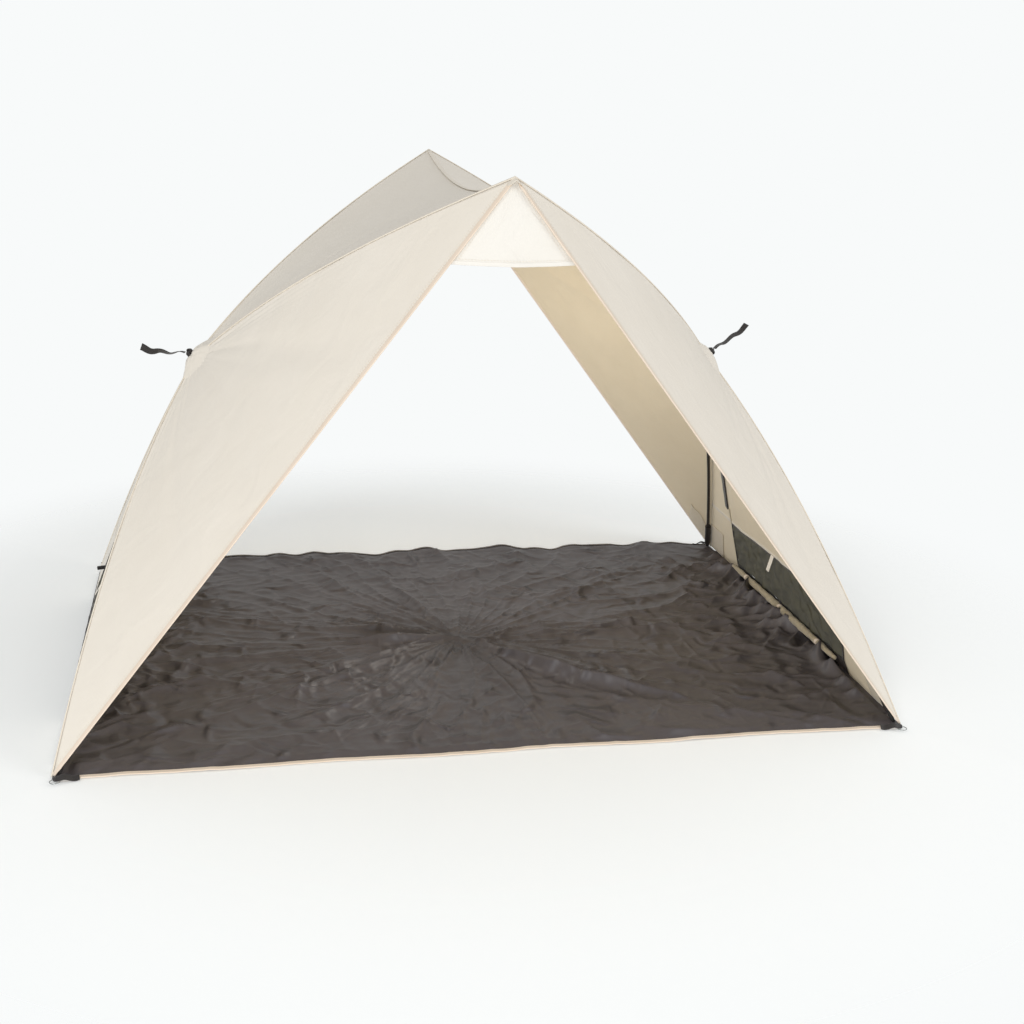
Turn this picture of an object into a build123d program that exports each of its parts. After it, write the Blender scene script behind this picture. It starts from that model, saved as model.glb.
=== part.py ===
"""Two-walled sun shelter on a pop-up frame. Origin on the ground, midway between the four feet.
X runs across the open front, Y from the front to the rear, Z up. Millimetres."""
from build123d import *
import os

os.makedirs("parts", exist_ok=True)

# Driving dimensions
FOOT_X = 1100            # half the width between the feet
FOOT_Y = 770             # half the depth between the feet
PEAK_Y = 695             # half the distance between the two peaks
PEAK_Z = 1420            # height of the peaks
HUB_X = 747              # the two hubs, at mid depth
HUB_Z = 873
POLE_BOW = 42            # how far a bent pole stands out from its chord
REAR_BOW = 16            # the rear lower poles stand nearly straight
RIDGE_SAG = 72           # dip of the ridge seam between the peaks
CLOTH = 0.8              # thickness of the cloth solids
SEAM = 3                 # gap that a panel leaves to each seam line
SHEET_Y = 785            # half the depth of the ground sheet
SHEET_X = 1096
POLE_R = 5.5
POLE_DROP = 16           # depth of the pole's axis below the seam line
PIN_R = 3
RUNNING = 0.05           # radial clearance of a pin in its eye
PIN_Z = 1390             # axis of the peak pins, about which the walls fold
PIN_Y = 662
HUB_R = 40
WINDOW_TOP = 0.745       # share of the side wall's slope, from hub to ground
WINDOW_BASE = 0.935
WINDOW_SIDE = 0.14       # share of the side wall's width left at each end
ROLL_R = 13
WEBBING = 25
SLEEVE_LENGTH = 110
TIP_R = 6
STRAP_LENGTH = 130
RING_R = 12

HUB = Vector(HUB_X, 0, HUB_Z)
OUT = Vector(PEAK_Z, 0, FOOT_X).normalized()      # outward normal of the right wall


def write(node, *shapes):
    export_step(shapes[0] if len(shapes) == 1 else Compound(children=list(shapes)), f"parts/{node}.step")


def write_pair(name, *shapes):
    """The right-hand piece as modelled, and its mirror image on the left."""
    write(f"right_{name}", *shapes)
    write(f"left_{name}", *[mirror(s, about=Plane.YZ) for s in shapes])


def corner(kind, side):
    """A corner of the right wall: side is -1 at the front and 1 at the rear."""
    if kind == "peak":
        return Vector(0, side * PEAK_Y, PEAK_Z)
    return Vector(FOOT_X, side * FOOT_Y, 3)


def seam(kind, side, t, drop=0):
    """A point on the bent seam line from the hub (t=0) to a corner (t=1), drop below the cloth."""
    most = REAR_BOW if kind == "foot" and side > 0 else POLE_BOW
    bow = 4 * most * t * (1 - t) * (1.15 - 0.3 * t)
    return HUB + (corner(kind, side) - HUB) * t + OUT * (bow - drop)


def panel_point(a, b, t, v, dip, sag=0):
    """A point of a panel between seams a and b: v goes from one to the other and dip is its hollow."""
    p = seam(*a, t) * (1 - v) + seam(*b, t) * v
    hollow = 4 * v * (1 - v)
    return p - OUT * (dip * hollow * t * (1 - t) * 4) - Vector(0, 0, sag * hollow * t ** 2)


def panel(a, b, t0, t1, dip, v0=0.0, v1=1.0, sag=0, rows=7, columns=7):
    """One closed cloth solid between seams a and b, from share t0 to t1 of the way from the hub."""
    grid = []
    for i in range(rows):
        t = t0 + (t1 - t0) * i / (rows - 1)
        width = (seam(*b, t) - seam(*a, t)).length
        gap = SEAM / width
        line = []
        for j in range(columns):
            v = v0 + (v1 - v0) * j / (columns - 1)
            line.append(panel_point(a, b, t, min(max(v, gap), 1 - gap), dip, sag))
        grid.append(line)
    face = Face.make_surface_from_array_of_points(grid)
    return Solid.thicken(face, CLOTH if face.normal_at().dot(OUT) < 0 else -CLOTH)


def rod(start, end, radius):
    """A straight round bar between two points."""
    return extrude(Plane(origin=start, z_dir=(end - start).normalized()) * Circle(radius), (end - start).length)


def tube(start, end, radius, bore):
    return rod(start, end, radius) - rod(start, end, bore)


def bent_pole(kind, side, t0, t1):
    """The flexible pole along a seam line, from its hub socket to its corner."""
    path = Spline([seam(kind, side, t0 + (t1 - t0) * i / 4, POLE_DROP) for i in range(5)])
    start = Plane(origin=path @ 0, z_dir=path % 0)
    return sweep(start * Circle(POLE_R), path)


def along(kind, side, t):
    """A point on the pole's axis, and its direction away from the hub."""
    p = seam(kind, side, t, POLE_DROP)
    return p, (seam(kind, side, t + 0.01, POLE_DROP) - p).normalized()


ENDS = [("foot", -1), ("foot", 1), ("peak", -1), ("peak", 1)]

# Poles: each runs from a hub socket to a foot sleeve or a peak eye
for kind, side in ENDS:
    place = ("front" if side < 0 else "rear") + ("_lower" if kind == "foot" else "_upper")
    write_pair(f"{place}_pole", bent_pole(kind, side, 0.06, 0.955 if kind == "foot" else 0.945))

# Hub: two discs on one bolt, four pivoting pole sockets on tangential pins between them
hub_plane = Plane(origin=HUB - OUT * 13, x_dir=(0, 1, 0), z_dir=OUT)
sockets, pins, lugs = [], [], []
for kind, side in ENDS:
    p, d = along(kind, side, 0.06)
    flat = (d - OUT * d.dot(OUT)).normalized()
    pin_at = p - d * (p - hub_plane.origin).length
    pin_at = hub_plane.origin + flat * 26 - OUT * 4
    tangent = OUT.cross(flat).normalized()
    base = p - d * 26
    eye = rod(pin_at - tangent * 6, pin_at + tangent * 6, 6)
    sleeve = rod(base, p + d * 24, 9) - rod(p - d * 2, p + d * 25, POLE_R + 0.2)
    socket = eye + rod(pin_at, base + d * 4, 5) + sleeve
    sockets.append(socket - rod(pin_at - tangent * 7, pin_at + tangent * 7, PIN_R + RUNNING))
    pins.append(rod(pin_at - tangent * 11, pin_at + tangent * 11, PIN_R))
    for way in (-1, 1):
        lug = rod(pin_at + tangent * way * 6.5, pin_at + tangent * way * 10.5, 6.5)
        lugs.append(lug - rod(pin_at + tangent * way * 6, pin_at + tangent * way * 11, PIN_R + RUNNING))
disc = extrude(hub_plane.offset(-20) * Circle(HUB_R), 7)
for kind, side in ENDS:
    p, d = along(kind, side, 0.06)
    flat = (d - OUT * d.dot(OUT)).normalized()
    tangent = OUT.cross(flat).normalized()
    for way in (-1, 1):
        foot_at = hub_plane.origin + flat * 26 + tangent * way * 8.5 - OUT * 9
        post = extrude(Plane(origin=foot_at - OUT * 5, x_dir=flat, z_dir=OUT) * Rectangle(10, 4), 8)
        keep_out = rod(foot_at + OUT * 5 - tangent * 9, foot_at + OUT * 5 + tangent * 9, PIN_R + RUNNING)
        disc += post - keep_out
core = extrude(hub_plane.offset(-14) * Circle(9), 22)
disc = disc + core - extrude(hub_plane.offset(-21) * Circle(3.2), 40)
for lug in lugs:
    disc += lug
write_pair("hub_base", disc)
write_pair("hub_sockets", *sockets)
write_pair("hub_pins", *pins)
cap = extrude(hub_plane.offset(15) * Circle(27), 4)
cap = chamfer(cap.edges().group_by(Axis(hub_plane.origin, OUT))[-1], 1.5)
cap -= extrude(hub_plane.offset(14) * Circle(3.2), 6)
write_pair("hub_cap", cap)
bolt = extrude(hub_plane.offset(-22) * Circle(3), 42.5)
bolt += extrude(hub_plane.offset(19.5) * RegularPolygon(6, 6), 4)
bolt += extrude(hub_plane.offset(-26.2) * RegularPolygon(6, 6), 5)
write_pair("hub_bolt", bolt)

# Foot sleeves on the lower poles, each with a rounded rubber tip that stands on the ground
sleeves, tips = [], []
for side in (-1, 1):
    p, d = along("foot", side, 0.955)
    top = along("foot", side, 0.955 - SLEEVE_LENGTH / 1200)[0]
    d = (p - top).normalized()
    sleeves.append(tube(top, p + d * 2, 10, POLE_R + 0.8) + rod(p + d * 2, p + d * 6, 10))
    reach = (p.Z - 1.6 - TIP_R * (1 - d.Z ** 2) ** 0.5) / -d.Z
    tips.append(rod(p + d * 6.5, p + d * reach, TIP_R))
write_pair("foot_sleeves", *sleeves)
write_pair("foot_tips", *tips)

# Peak eyes: the upper poles end in eyes on the peak pin, the right one inboard of the left one
def peak_eye(side, inboard):
    y = side * (PIN_Y - inboard * 9.5)
    at = Vector(0, y, PIN_Z)
    p, d = along("peak", side, 0.945)
    ring = rod(at - Vector(0, 6, 0), at + Vector(0, 6, 0), 8)
    arm = rod(at + (p - at).normalized() * 5, p + (at - p).normalized() * 4, 4)
    sleeve = rod(p - d * 30, p + d * 8, 8.5) - rod(p - d * 31, p + d * 1.5, POLE_R + 0.9)
    return (ring + arm + sleeve) - rod(at - Vector(0, 7, 0), at + Vector(0, 7, 0), PIN_R + RUNNING)


write("right_peak_eyes", peak_eye(-1, 1), peak_eye(1, 1))
write("left_peak_eyes", *[mirror(peak_eye(side, -1), about=Plane.YZ) for side in (-1, 1)])

# Peak brackets carry the pins; the walls fold about them
for side, place in ((-1, "front"), (1, "rear")):
    pin_mid = Vector(0, side * PIN_Y, PIN_Z)
    reach = Vector(0, 19.5, 0)
    lug = rod(pin_mid - Vector(0, 2.5, 0), pin_mid + Vector(0, 2.5, 0), 6)
    lug += Pos(0, side * PIN_Y, PIN_Z + 7) * Box(8, 5, 8)
    lug -= rod(pin_mid - reach, pin_mid + reach, PIN_R)
    roof = Pos(0, side * PIN_Y, PIN_Z + 10.5) * Box(12, 40, 4)
    write(f"{place}_peak_bracket", lug + fillet(roof.edges().filter_by(Axis.Z), 3))
    write(f"{place}_peak_pin", rod(pin_mid - reach, pin_mid + reach, PIN_R))

# Canopy panels of one wall
write_pair("front_panel", panel(("foot", -1), ("peak", -1), 0.06, 0.975, 14))
write_pair("rear_panel", panel(("foot", 1), ("peak", 1), 0.06, 0.975, 14))
write_pair("top_panel", panel(("peak", -1), ("peak", 1), 0.06, 0.86, 16, sag=RIDGE_SAG))

# Ridge piece: the strip of the top panels along the ridge seam, which creases as the walls close
def ridge_half(sign, t0):
    rows = []
    for i in range(5):
        t = t0 + (1 - t0) * i / 4
        line = []
        for j in range(9):
            v = 0.02 + 0.96 * j / 8
            p = panel_point(("peak", -1), ("peak", 1), t, v, 16, RIDGE_SAG)
            line.append(Vector(sign * max(p.X, 1), p.Y, p.Z))
        rows.append(line)
    face = Face.make_surface_from_array_of_points(rows)
    return Solid.thicken(face, CLOTH if face.normal_at().Z < 0 else -CLOTH)


write("ridge_panel", ridge_half(1, 0.865), ridge_half(-1, 0.865))

# Side wall of one wall: cloth above the window, mesh, a corner patch at each end, and the dark hem
FRONT_LEG, REAR_LEG = ("foot", -1), ("foot", 1)
edge = WINDOW_SIDE
write_pair("side_panel", panel(FRONT_LEG, REAR_LEG, 0.06, WINDOW_TOP - 0.003, 10))
write_pair("window_mesh", panel(FRONT_LEG, REAR_LEG, WINDOW_TOP, WINDOW_BASE, 10, edge, 1 - edge))
patches = [panel(FRONT_LEG, REAR_LEG, WINDOW_TOP, WINDOW_BASE, 10, 0, edge - 0.003),
           panel(FRONT_LEG, REAR_LEG, WINDOW_TOP, WINDOW_BASE, 10, 1.003 - edge, 1)]
write_pair("corner_patches", *patches)
write_pair("hem_band", panel(FRONT_LEG, REAR_LEG, WINDOW_BASE + 0.003, 0.992, 10))


def wall_point(t, v, inside):
    return panel_point(FRONT_LEG, REAR_LEG, t, v, 10) - OUT * inside


# Rolled window cover along the window's base, inside, held by three toggle ties
roll_a = wall_point(WINDOW_BASE - 0.01, edge + 0.03, ROLL_R + 7)
roll_b = wall_point(WINDOW_BASE - 0.01, 0.97 - edge, ROLL_R + 7)
write_pair("window_roll", rod(roll_a, roll_b, ROLL_R))
ties = []
for share in (0.15, 0.5, 0.85):
    at = roll_a + (roll_b - roll_a) * share
    step = (roll_b - roll_a).normalized() * 8
    ties.append(tube(at - step, at + step, ROLL_R + 2, ROLL_R + 0.4))
write_pair("roll_ties", *ties)

# Gussets close the top of each opening, between the two walls
for side, place in ((-1, "front"), (1, "rear")):
    y = side * (PEAK_Y + 1)
    low = PEAK_Z - 200
    top = PEAK_Z - 34
    half = (PEAK_Z - low) * FOOT_X / PEAK_Z - 6
    outline = Polyline((-9, top), (-half, low), (0, low - 8), (half, low), (9, top), close=True)
    face = make_face(Plane(origin=(0, y, 0), x_dir=(1, 0, 0), z_dir=(0, -1, 0)) * outline)
    write(f"{place}_gusset", extrude(face, CLOTH / 2, both=True))

# Pull straps: webbing tied to each hub cap, standing straight out
strap_root = HUB + OUT * 20
for sign, name, lift in ((1, "right", 0.75), (-1, "left", 0.12)):
    way = Vector(sign, 0, lift).normalized()
    root = Vector(sign * strap_root.X, 0, strap_root.Z)
    strap_plane = Plane(origin=root + way * 5, x_dir=(0, 1, 0), z_dir=way)
    band = extrude(strap_plane * Rectangle(WEBBING * 0.9, 2), STRAP_LENGTH)
    knot = Pos(*root) * Sphere(8)
    write(f"{name}_pull_strap", band + knot)

# Corner loops of webbing at the feet, and the steel ring on each for a stake
for name, sx in (("right", 1), ("left", -1)):
    for place, sy in (("front", -1), ("rear", 1)):
        at = Vector(sx * (FOOT_X - 10), sy * (SHEET_Y + 4), 6)
        loop = Pos(at.X, at.Y - sy * 2, at.Z) * Box(10, 14, 9)
        loop -= Pos(at.X, at.Y, at.Z) * Box(12, 6, 6)
        write(f"{name}_{place}_loop", loop)
        ring = Pos(at.X, at.Y + sy * RING_R, at.Z) * Torus(RING_R, 1.25)
        write(f"{name}_{place}_ring", ring)

# Ground sheet
sheet = Pos(0, 0, CLOTH / 2) * Box(2 * SHEET_X, 2 * SHEET_Y, CLOTH)
write("ground_sheet", sheet)
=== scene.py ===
import bmesh
import bpy
import math
import numpy as np
from mathutils import Matrix, Vector, noise


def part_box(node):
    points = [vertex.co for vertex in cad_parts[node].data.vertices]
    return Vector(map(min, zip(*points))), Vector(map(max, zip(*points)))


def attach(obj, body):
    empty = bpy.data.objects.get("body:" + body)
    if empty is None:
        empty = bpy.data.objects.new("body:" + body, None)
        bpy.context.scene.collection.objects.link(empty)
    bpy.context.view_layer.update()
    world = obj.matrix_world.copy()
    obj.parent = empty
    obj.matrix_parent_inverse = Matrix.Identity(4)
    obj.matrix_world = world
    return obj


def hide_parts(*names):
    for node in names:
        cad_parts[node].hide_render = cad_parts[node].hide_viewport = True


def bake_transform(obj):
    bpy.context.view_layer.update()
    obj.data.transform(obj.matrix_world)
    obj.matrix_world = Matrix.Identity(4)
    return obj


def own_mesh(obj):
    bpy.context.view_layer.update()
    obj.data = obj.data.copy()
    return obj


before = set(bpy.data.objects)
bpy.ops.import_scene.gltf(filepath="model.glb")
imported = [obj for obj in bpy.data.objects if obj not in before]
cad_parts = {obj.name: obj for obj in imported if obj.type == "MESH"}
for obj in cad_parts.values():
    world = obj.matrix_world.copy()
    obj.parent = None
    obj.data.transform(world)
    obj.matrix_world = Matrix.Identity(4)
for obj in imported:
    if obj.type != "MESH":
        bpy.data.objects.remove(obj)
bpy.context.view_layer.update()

# ------------------------------ canopy walls
# Each wall is four panels of coated polyester taffeta, sewn together over the poles and held out
# by a hub. The cloth is cut a little hollow, so it pulls in between the poles.
FOOT, PEAK, HUB = np.array([1.100, 0.770, 0.003]), np.array([0, 0.695, 1.420]), np.array([0.747, 0, 0.873])
OUT = np.array([1.420, 0, 1.100]) / math.hypot(1.420, 1.100)
POLE_BOW, REAR_BOW = 0.042, 0.016        # the rear lower poles stand nearly straight
RIDGE_SAG = 0.072
SIDES = (("right", 1), ("left", -1))
ENDS = (("front", -1), ("rear", 1))
FOOT_FRONT, FOOT_REAR = ("foot", -1), ("foot", 1)
PEAK_FRONT, PEAK_REAR = ("peak", -1), ("peak", 1)
# Each panel's two seams, the hollow of its cut, its sag at the ridge, and the number its creases start from.
PANELS = {"front": (FOOT_FRONT, PEAK_FRONT, 0.014, 0.0, 3), "rear": (FOOT_REAR, PEAK_REAR, 0.014, 0.0, 4),
          "top": (PEAK_FRONT, PEAK_REAR, 0.016, RIDGE_SAG, 5), "side": (FOOT_FRONT, FOOT_REAR, 0.010, 0.0, 9)}
CUT_SIZES = {"front": (0.80, 1.82), "rear": (0.80, 1.82), "top": (0.94, 1.42)}
CLOTH, DOUBLE_CLOTH = 0.0006, 0.0008        # drawn thicker than the real 0.1 mm, so that both faces stay apart
PANEL_LENGTH = 1.15        # from the hub to a panel's far edge
PANEL_START = 0.018        # where a panel begins, as a share of the way from hub to corner
UP = np.array((0, 0, 1.0))


def colour(hex_code):
    """An sRGB hex colour as the linear colour that a shader takes."""
    parts = [int(hex_code[i:i + 2], 16) / 255 for i in (0, 2, 4)]
    return (*[c / 12.92 if c < 0.04045 else ((c + 0.055) / 1.055) ** 2.4 for c in parts], 1)


def add(tree, kind, links=None, **settings):
    """Adds a shader node: settings are its properties or input values, links its inputs."""
    n = tree.nodes.new(kind)
    for key, value in settings.items():
        if hasattr(n, key):
            setattr(n, key, value)
        else:
            n.inputs[key.replace("_", " ")].default_value = value
    for socket, source in (links or {}).items():
        tree.links.new(source, n.inputs[socket])
    return n


def new_material(name, roughness, metallic=0.0, **more):
    """A material with one Principled shader, and its node tree."""
    material = bpy.data.materials.new(name)
    material.use_nodes = True
    tree = material.node_tree
    shader = tree.nodes["Principled BSDF"]
    shader.inputs["Roughness"].default_value = roughness
    shader.inputs["Metallic"].default_value = metallic
    for socket, value in more.items():
        shader.inputs[socket.replace("_", " ")].default_value = value
    return material, tree, shader


def two_tones(tree, factor, first, second):
    """A colour that runs from first to second with factor."""
    tone = add(tree, "ShaderNodeMix", {"Factor": factor}, data_type="RGBA")
    tone.inputs[6].default_value, tone.inputs[7].default_value = colour(first), colour(second)
    return tone.outputs[2]


def woven(name, thread, shade, gap, pitch, roughness, crease=0.25, crease_size=0.16, sheen=0.25, weave=0.25,
          crumple="FBM"):
    """Plain-woven cloth: warp and weft ribs at pitch, a cloudy tone, and soft creases pressed in."""
    material, tree, shader = new_material(name, roughness, Sheen_Weight=sheen, Sheen_Roughness=0.5)
    uv = add(tree, "ShaderNodeTexCoord").outputs["UV"]
    warp = add(tree, "ShaderNodeTexWave", {"Vector": uv}, bands_direction="X", Scale=0.314 / pitch)
    weft = add(tree, "ShaderNodeTexWave", {"Vector": uv}, bands_direction="Y", Scale=0.314 / pitch)
    cross = add(tree, "ShaderNodeMath", {0: warp.outputs["Fac"], 1: weft.outputs["Fac"]}, operation="MULTIPLY")
    cloud = add(tree, "ShaderNodeTexNoise", {"Vector": uv}, Scale=1 / 0.22, Detail=4.0, Roughness=0.55)
    tone = two_tones(tree, cloud.outputs["Fac"], thread, shade)
    depth = add(tree, "ShaderNodeMapRange", {"Value": cross.outputs["Value"]}, To_Min=0.0, To_Max=gap)
    ribbed = add(tree, "ShaderNodeMix", {"Factor": depth.outputs["Result"]}, data_type="RGBA")
    tree.links.new(tone, ribbed.inputs[6])
    ribbed.inputs[7].default_value = colour(shade)
    tree.links.new(ribbed.outputs[2], shader.inputs["Base Color"])
    folds = add(tree, "ShaderNodeTexNoise", {"Vector": uv}, noise_type=crumple, normalize=True, Scale=1 / crease_size,
                Detail=4.0 if crumple == "FBM" else 5.0, Distortion=0.6)
    soft = add(tree, "ShaderNodeBump", {"Height": folds.outputs["Fac"]}, Strength=crease, Distance=0.02)
    fine = add(tree, "ShaderNodeBump", {"Height": cross.outputs["Value"], "Normal": soft.outputs["Normal"]},
               Strength=weave, Distance=0.0006)
    tree.links.new(fine.outputs["Normal"], shader.inputs["Normal"])
    return material


def seam(kind, end, t):
    """Points on the bent seam of the right wall, from the hub (t = 0) to a corner (t = 1)."""
    t = np.asarray(t, float)[..., None]
    corner = (FOOT if kind == "foot" else PEAK) * (1, end, 1)
    most = REAR_BOW if kind == "foot" and end > 0 else POLE_BOW
    bow = 4 * most * t * (1 - t) * (1.15 - 0.3 * t)
    return HUB + (corner - HUB) * t + OUT * bow


def wall_cloth(a, b, t, v, dip, sag=0.0):
    """Points of the panel between seams a and b, with the hollow dip that its cut gives it."""
    p = seam(*a, t) * (1 - v)[..., None] + seam(*b, t) * v[..., None]
    hollow = 4 * v * (1 - v)
    p = p - OUT * (dip * hollow * t * (1 - t) * 4)[..., None]
    p[..., 2] -= sag * hollow * t ** 2
    return p


def pulls(a, b, t, v, seed):
    """Creases that tension puts in a panel: a fan from the hub, ripples along both seams, a few long pulls.

    t runs from the hub to the panel's far edge, and v from one seam to the other.
    """
    rng = np.random.default_rng(seed)
    near_hub = np.exp(-t / 0.30)
    fan = sum(np.cos(2 * math.pi * (v * k + rng.random())) / k ** 0.5 for k in (5, 8, 13, 19))
    lift = 0.0016 * fan * near_hub * np.minimum(1, t * 9)
    width = np.linalg.norm(seam(*b, t) - seam(*a, t), axis=-1)
    along = t * PANEL_LENGTH
    for edge in (v, 1 - v):
        off = edge * width
        ripple = np.cos(2 * math.pi * (off / 0.024 + 0.6 * np.sin(along * 5 + seed)))
        pucker = np.cos(2 * math.pi * (along / 0.031 + 0.35 * np.sin(along * 17 + seed)))
        lift += 0.0011 * ripple * np.exp(-off / 0.055) + 0.0007 * pucker * np.exp(-off / 0.016)
    for _ in range(5):
        where, tilt, wide = rng.uniform(0.15, 0.85), rng.uniform(-0.25, 0.25), rng.uniform(0.02, 0.05)
        lift -= 0.0030 * np.exp(-((v - where - tilt * (t - 0.5)) / wide) ** 2) * np.sin(math.pi * t)
    return lift * np.clip(np.minimum(v, 1 - v) * width / 0.010, 0, 1)


def spans(first, second):
    """Two grids of values: first = (from, to, count) changes down the rows, second across the columns."""
    return np.meshgrid(np.linspace(*first), np.linspace(*second), indexing="ij")


def circle(count):
    return np.linspace(0, 2 * math.pi, count, endpoint=False)


def new_object(name, data):
    """An object that holds data, linked to the scene."""
    made = bpy.data.objects.new(name, data)
    bpy.context.scene.collection.objects.link(made)
    return made


def new_piece(name, verts, faces):
    """An object with a plain mesh."""
    mesh = bpy.data.meshes.new(name)
    mesh.from_pydata(verts, [], faces)
    return new_object(name, mesh), mesh


def grid_mesh(name, points, uv, side=1, thickness=0.0, lining=None, face_out=None):
    """A smooth quad mesh over a grid of points, mirrored for the left, with a real second face if thick."""
    points = points * (side, 1, 1)
    rows, columns = points.shape[:2]
    index = np.arange(rows * columns).reshape(rows, columns)
    quads = np.stack([index[:-1, :-1], index[1:, :-1], index[1:, 1:], index[:-1, 1:]], -1).reshape(-1, 4)
    middle = points[rows // 2, columns // 2]
    across = points[rows // 2, min(columns // 2 + 1, columns - 1)] - middle
    down = points[min(rows // 2 + 1, rows - 1), columns // 2] - middle
    if np.dot(np.cross(down, across), face_out) < 0:
        quads = quads[:, ::-1]
    piece, mesh = new_piece(name, points.reshape(-1, 3).tolist(), quads.tolist())
    layer = mesh.uv_layers.new(name="UVMap")
    layer.data.foreach_set("uv", uv.reshape(-1, 2)[quads.reshape(-1)].reshape(-1).astype(np.float32))
    mesh.polygons.foreach_set("use_smooth", [True] * len(mesh.polygons))
    if thickness:
        for _ in range(2 if lining else 1):
            mesh.materials.append(None)
        back = piece.modifiers.new("cloth thickness", "SOLIDIFY")
        back.thickness = thickness
        back.offset = -1
        back.material_offset = 1 if lining else 0
        back.material_offset_rim = 0
        bake_modifiers(piece)
    return piece


def bake_modifiers(piece):
    """Turns the piece's modifiers into plain mesh."""
    bpy.context.view_layer.update()
    solid = bpy.data.meshes.new_from_object(piece.evaluated_get(bpy.context.evaluated_depsgraph_get()))
    piece.modifiers.clear()
    piece.data = solid


def paint(piece, *materials):
    """Fills the piece's material slots, and keeps which face has which slot."""
    slots = piece.data.materials
    for place, material in enumerate(materials):
        if place < len(slots):
            slots[place] = material
        else:
            slots.append(material)
    return piece


# Cream solution-dyed taffeta outside, soft and almost matt. The inside face is given a darker, warmer khaki tone:
# painted shade, and painted light coming through the cloth.
canopy_taffeta = woven("polyester taffeta, cream", "EDE6DB", "E6DED1", 0.10, 0.0016, 0.72)
inside_with_painted_shade = woven("polyester taffeta, inside with painted shade", "E6D8BD", "DCCDB0", 0.10, 0.0016, 0.62, sheen=0.1)


def follow_ridge(piece):
    """Bakes the piece's placement into its mesh."""
    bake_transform(piece)


def panel_of(label, side):
    """A panel's row of PANELS, with creases of its own on the left, except on the side wall."""
    a, b, dip, sag, seed = PANELS[label]
    return a, b, dip, sag, seed + 7 * (side < 0 and label != "side")


def wall_panel(name, panel, side):
    a, b, dip, sag, seed = panel
    t, v = spans((PANEL_START, 1, 111), (0, 1, 121))
    points = wall_cloth(a, b, t, v, dip, sag) + OUT * pulls(a, b, t, v, seed)[..., None]
    width = np.linalg.norm(seam(*b, t) - seam(*a, t), axis=-1)
    uv = np.stack([(v - 0.5) * width, t * PANEL_LENGTH], -1)
    return grid_mesh(name, points, uv, side, CLOTH, True, OUT * (side, 1, 1))


for place, side in SIDES:
    for label, flat in CUT_SIZES.items():
        piece = wall_panel(f"{place}_{label}_panel_cloth", panel_of(label, side), side)
        paint(piece, canopy_taffeta, inside_with_painted_shade)
        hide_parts(f"{place}_{label}_panel")
        follow_ridge(piece)

# ------------------------------ seams and bindings
# Each pole seam is a felled seam with a row of lockstitch on both sides. The open edges are bound
# with folded peach-cream tape, sewn through with two rows.
def on_cloth(panel, t, v, lift=0.0):
    """Points and outward normals along a line drawn on a panel of the right wall."""
    a, b, dip, sag, seed = panel

    def at(t, v):
        return wall_cloth(a, b, t, v, dip, sag) + OUT * pulls(a, b, t, v, seed)[..., None]
    t, v = np.broadcast_arrays(np.asarray(t, float), np.asarray(v, float))
    t, v = np.clip(t, 0.02, 1), np.clip(v, 0, 1)
    step = 0.004
    along_t = at(np.minimum(t + step, 1), v) - at(t - step, v)
    along_v = at(t, np.minimum(v + step, 1)) - at(t, np.maximum(v - step, 0))
    n = np.cross(along_t, along_v)
    n *= np.sign(n @ OUT)[:, None] / np.linalg.norm(n, axis=1)[:, None]
    return at(t, v) + n * lift, n


def wall_line(label, side, t, v, lift=0.0):
    """Points and outward normals along a line drawn on a panel of either wall."""
    path, normals = on_cloth(panel_of(label, side), t, v, lift)
    return path * (side, 1, 1), normals * (side, 1, 1)


def rounded(c, power):
    """A sine or cosine flattened toward a square, for the section of a tape or a folded loop."""
    return np.sign(c) * np.abs(c) ** power


def sideways(path, normals):
    """Unit tangents of a path and the directions across it."""
    tangent = np.gradient(path, axis=0)
    tangent /= np.linalg.norm(tangent, axis=1)[:, None]
    across = np.cross(tangent, normals)
    return tangent, across / np.linalg.norm(across, axis=1)[:, None]


def tape(name, path, normals, width, thick, material, closed=False, roundness=0.7):
    """A band of woven tape, or a round cord when width equals thick, along a path."""
    _, across = sideways(path, normals)
    turn = circle(12) + math.pi / 12
    c, s = np.cos(turn), np.sin(turn)
    power = 1.0 if abs(width - thick) < 1e-6 else 1 - roundness
    c, s = rounded(c, power), rounded(s, power)
    ring = path[:, None] + across[:, None] * (c * width / 2)[None, :, None]
    ring = ring + normals[:, None] * (s * thick / 2)[None, :, None]
    rows, columns = ring.shape[:2]
    step = np.linalg.norm(np.diff(path, axis=0), axis=1)
    run = np.concatenate([[0], np.cumsum(step)])
    faces, uv = [], []
    for i in range(rows if closed else rows - 1):
        k = (i + 1) % rows
        for j in range(columns):
            m = (j + 1) % columns
            faces.append((i * columns + j, i * columns + m, k * columns + m, k * columns + j))
            far = run[k] if k else run[-1] + step[-1]
            left, right = j * width / 6, (j + 1) * width / 6
            uv += [(left, run[i]), (right, run[i]), (right, far), (left, far)]
    if not closed:
        faces += [tuple(range(columns - 1, -1, -1)), tuple((rows - 1) * columns + j for j in range(columns))]
        uv += [(0, 0)] * (2 * columns)
    piece, mesh = new_piece(name, ring.reshape(-1, 3).tolist(), faces)
    mesh.uv_layers.new(name="UVMap").data.foreach_set("uv", np.array(uv, np.float32).reshape(-1))
    mesh.polygons.foreach_set("use_smooth", [True] * len(mesh.polygons))
    make_normals_face_out(mesh)
    return paint(piece, material)


def make_normals_face_out(mesh):
    work = bmesh.new()
    work.from_mesh(mesh)
    bmesh.ops.recalc_face_normals(work, faces=work.faces)
    work.to_mesh(mesh)
    work.free()


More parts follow.
